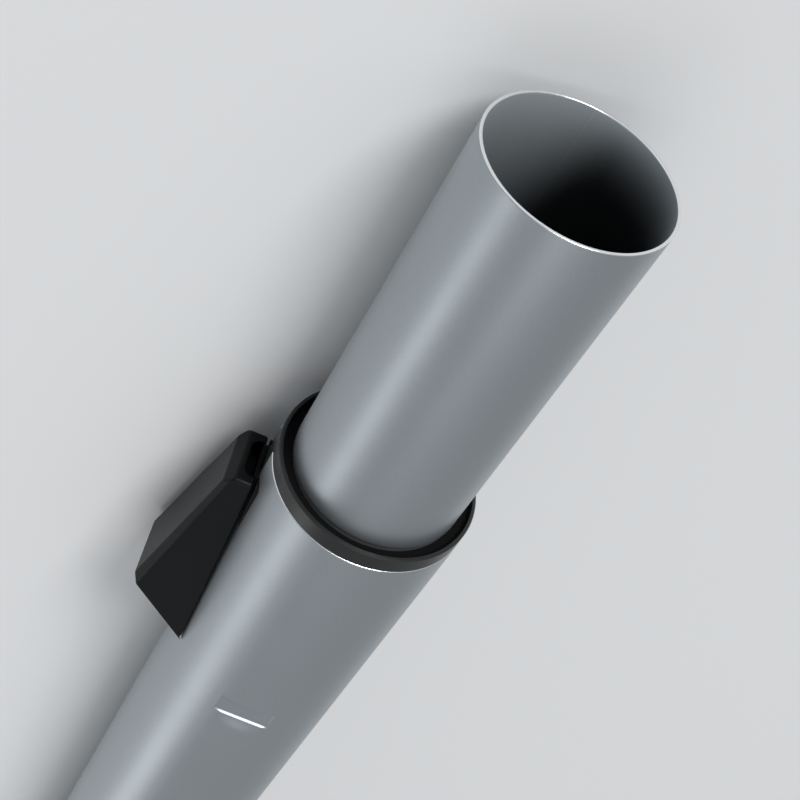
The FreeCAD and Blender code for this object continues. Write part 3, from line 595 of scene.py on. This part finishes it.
# The end bush and its seal are pushed on the inner tube's hidden end: nylon like the collar's, held by two
# nubs, with a soft rubber lip that keeps the suction in.
dress("end_bush", collar_nylon)
seal_rubber = moulded_plastic(
    "seal_rubber", light=(0.018, 0.018, 0.018, 1), dark=(0.012, 0.012, 0.012, 1), grain=900.0,
    smoothest=0.6, roughest=0.8, strength=0.2, gloss=0.4)
dress("end_seal", seal_rubber)


# The latch base is a black moulded saddle on the outer tube. It hooks under the slot's edges and carries
# the rail that the button slides on.
latch_black = moulded_plastic(
    "latch_black", light=(0.003, 0.003, 0.003, 1), dark=(0.0015, 0.0015, 0.0015, 1), grain=2600.0,
    smoothest=0.5, roughest=0.65, strength=0.15, gloss=0.15)
dress("latch_base", latch_black)


# The lock's bolt and its cross pin are bare steel, ground and lightly oiled. The button's slots lift them
# out of the notch.
ground_steel = Finish("ground_steel", Metallic=1.0)
ground = ground_steel.effect(
    streaks.tree, Light=(0.60, 0.60, 0.59, 1), Dark=(0.42, 0.42, 0.42, 1), Smoothest=0.22, Roughest=0.36)
ground_steel.lay(ground, strength=0.1, depth=0.02 * mm)
dress("lock_bolt", ground_steel)
dress("lock_pin", ground_steel)


# The return spring is coiled steel wire between the base's stop and the button's cross wall. Its front end
# stays on the stop; the real spring shortens as the button is pushed, but this coil is built at one length
# only.
spring_low, spring_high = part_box("return_spring")
spring_length = spring_high.x - spring_low.x
wire_radius = 0.225 * mm
wire_sides = 10
coil_radius = 2.4 * mm
coil_turns = 4
coil_steps = 40
coil_middle = (spring_low + spring_high) / 2
coil_start = spring_low.x + wire_radius
coil_length = spring_length - 2 * wire_radius
build = bmesh.new()
rings = []
for step in range(coil_turns * coil_steps + 1):
    spoke = around(math.tau * step / coil_steps)
    along = coil_start + coil_length * step / (coil_turns * coil_steps)
    centre = Vector((along, coil_middle.y, coil_middle.z)) + spoke * coil_radius
    ring = []
    for side in range(wire_sides):
        round_wire = math.tau * side / wire_sides
        offset = spoke * math.cos(round_wire) + tube_axis * math.sin(round_wire)
        ring.append(build.verts.new(centre + offset * wire_radius))
    rings.append(ring)
for ring, after in zip(rings, rings[1:]):
    for side in range(wire_sides):
        beside = (side + 1) % wire_sides
        build.faces.new((ring[side], ring[beside], after[beside], after[side]))
build.faces.new(rings[0])
build.faces.new(rings[-1])
bmesh.ops.recalc_face_normals(build, faces=build.faces[:])
spring = smooth_piece("spring_coil", build, tube_crease)
spring.data.materials.append(ground_steel.material)
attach(spring, "outer")
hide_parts("return_spring")
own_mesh(spring)


# The release button is a hollow black moulding with bevelled top edges and a fine spark-eroded grain.
# It hooks on the base's rail, and the thumb pushes it along the tube.
button_black = moulded_plastic(
    "button_black", light=(0.0035, 0.004, 0.0045, 1), dark=(0.002, 0.0025, 0.003, 1), grain=2200.0,
    smoothest=0.34, roughest=0.48, strength=0.15, gloss=0.15)
edge_round = 0.4 * mm
edge_steps = 4
edge_profile = 0.5
same_place = 0.002 * mm
flat_within = math.radians(4)
sharp_from = math.radians(22)
button_crease = math.radians(35)
outside_within = 0.4 * mm
build = bmesh.new()
build.from_mesh(frame["nodes"]["release_button"].data)
bmesh.ops.remove_doubles(build, verts=build.verts[:], dist=same_place)
bmesh.ops.dissolve_limit(build, angle_limit=flat_within, verts=build.verts[:], edges=build.edges[:])
corners = [corner.co.copy() for corner in build.verts]


def is_outside(face):
    """Whether nothing of the button stands beyond this face, so that it is not in the hollow."""
    reach = face.normal.dot(face.calc_center_median())
    return max(face.normal.dot(corner) for corner in corners) < reach + outside_within


outside = {face for face in build.faces if is_outside(face)}
sharp_edges = [
    edge for edge in build.edges
    if outside.issuperset(edge.link_faces) and edge.calc_face_angle() > sharp_from]
bmesh.ops.bevel(
    build, geom=sharp_edges, offset=edge_round, segments=edge_steps, profile=edge_profile, affect="EDGES",
    clamp_overlap=False)
button = smooth_piece("button_shell", build, button_crease)
flats = button.modifiers.new("even_flats", "WEIGHTED_NORMAL")
flats.keep_sharp = True
button.data.materials.append(button_black.material)
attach(button, "button")
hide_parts("release_button")


# The floor is a plain pale sheet of matt board under the wand, which lies on it with its tubes level.
# It carries only the wand's shadow.
floor_size = 4.4
floor_middle = 0.3
bpy.ops.mesh.primitive_plane_add(size=floor_size, location=(floor_middle, 0, cad_low.z))
floor = bpy.context.object
floor.name = "floor"
pale = Finish("pale_floor", Roughness=0.9)
sheet = pale.effect(felt_fibre.tree, Light=(0.78, 0.79, 0.80, 1), Dark=(0.76, 0.77, 0.78, 1))
pale.join(sheet, "Color", pale.shader, "Base Color")
floor.data.materials.append(pale.material)


# Plain soft studio light: a long low softbox beyond the latch, a square one in front of the nozzle end,
# a broad one overhead, and an even grey room.
lit_behind = 50 * mm
lit_place = Vector((open_end - lit_behind, 0, 0))
room_shade = (0.96, 0.98, 1.0, 1)
room_strength = 0.4


def softbox(name, offset, width, height, power):
    """A soft rectangular lamp that stands off from the latch's end of the wand and faces it."""
    lamp = bpy.data.lights.new(name, "AREA")
    lamp.shape = "RECTANGLE"
    lamp.size = width
    lamp.size_y = height
    lamp.energy = power
    holder = bpy.data.objects.new(name, lamp)
    bpy.context.scene.collection.objects.link(holder)
    holder.location = lit_place + Vector(offset)
    holder.rotation_euler = (-Vector(offset)).to_track_quat("-Z", "Y").to_euler()


softbox("strip_light", offset=(-1.05, 1.05, 0.25), width=1.6, height=0.35, power=3.2)
softbox("front_light", offset=(5.184, -0.81, 3.0375), width=2.43, height=2.43, power=237)
softbox("top_light", offset=(-0.2, 0.3, 1.7), width=1.4, height=1.4, power=6)
world = bpy.data.worlds.new("studio")
bpy.context.scene.world = world
world.use_nodes = True
room = world.node_tree.nodes["Background"]
room.inputs["Color"].default_value = room_shade
room.inputs["Strength"].default_value = room_strength
bpy.context.scene.view_settings.view_transform = "Standard"


# The camera stands in front of the nozzle end and above it, as in the photograph. Its directions are given
# along the tubes, toward the viewer's side of the tubes, and across both.
view_turn = math.radians(75.35)
view_side = Matrix.Rotation(view_turn, 3, "X") @ latch_up
view_cross = Matrix.Rotation(math.pi / 2, 3, "X") @ view_side
camera_right = tube_axis * 0.3869 - view_side * 0.4038 + view_cross * 0.8289
camera_up = tube_axis * 0.5920 - view_side * 0.5805 - view_cross * 0.5590
camera_back = camera_right.cross(camera_up)
camera_ahead = 224.1 * mm
camera_off = 201.5 * mm
camera_place = tube_axis * (open_end + camera_ahead) + view_side * camera_off
camera = bpy.data.objects.new("camera", bpy.data.cameras.new("camera"))
bpy.context.scene.collection.objects.link(camera)
camera.data.sensor_width = 36
camera.data.lens = 69.92
camera.data.clip_start = 0.01
turning = Matrix((camera_right, camera_up, camera_back)).transposed().to_4x4()
camera.matrix_world = Matrix.Translation(camera_place) @ turning
bpy.context.scene.camera = camera
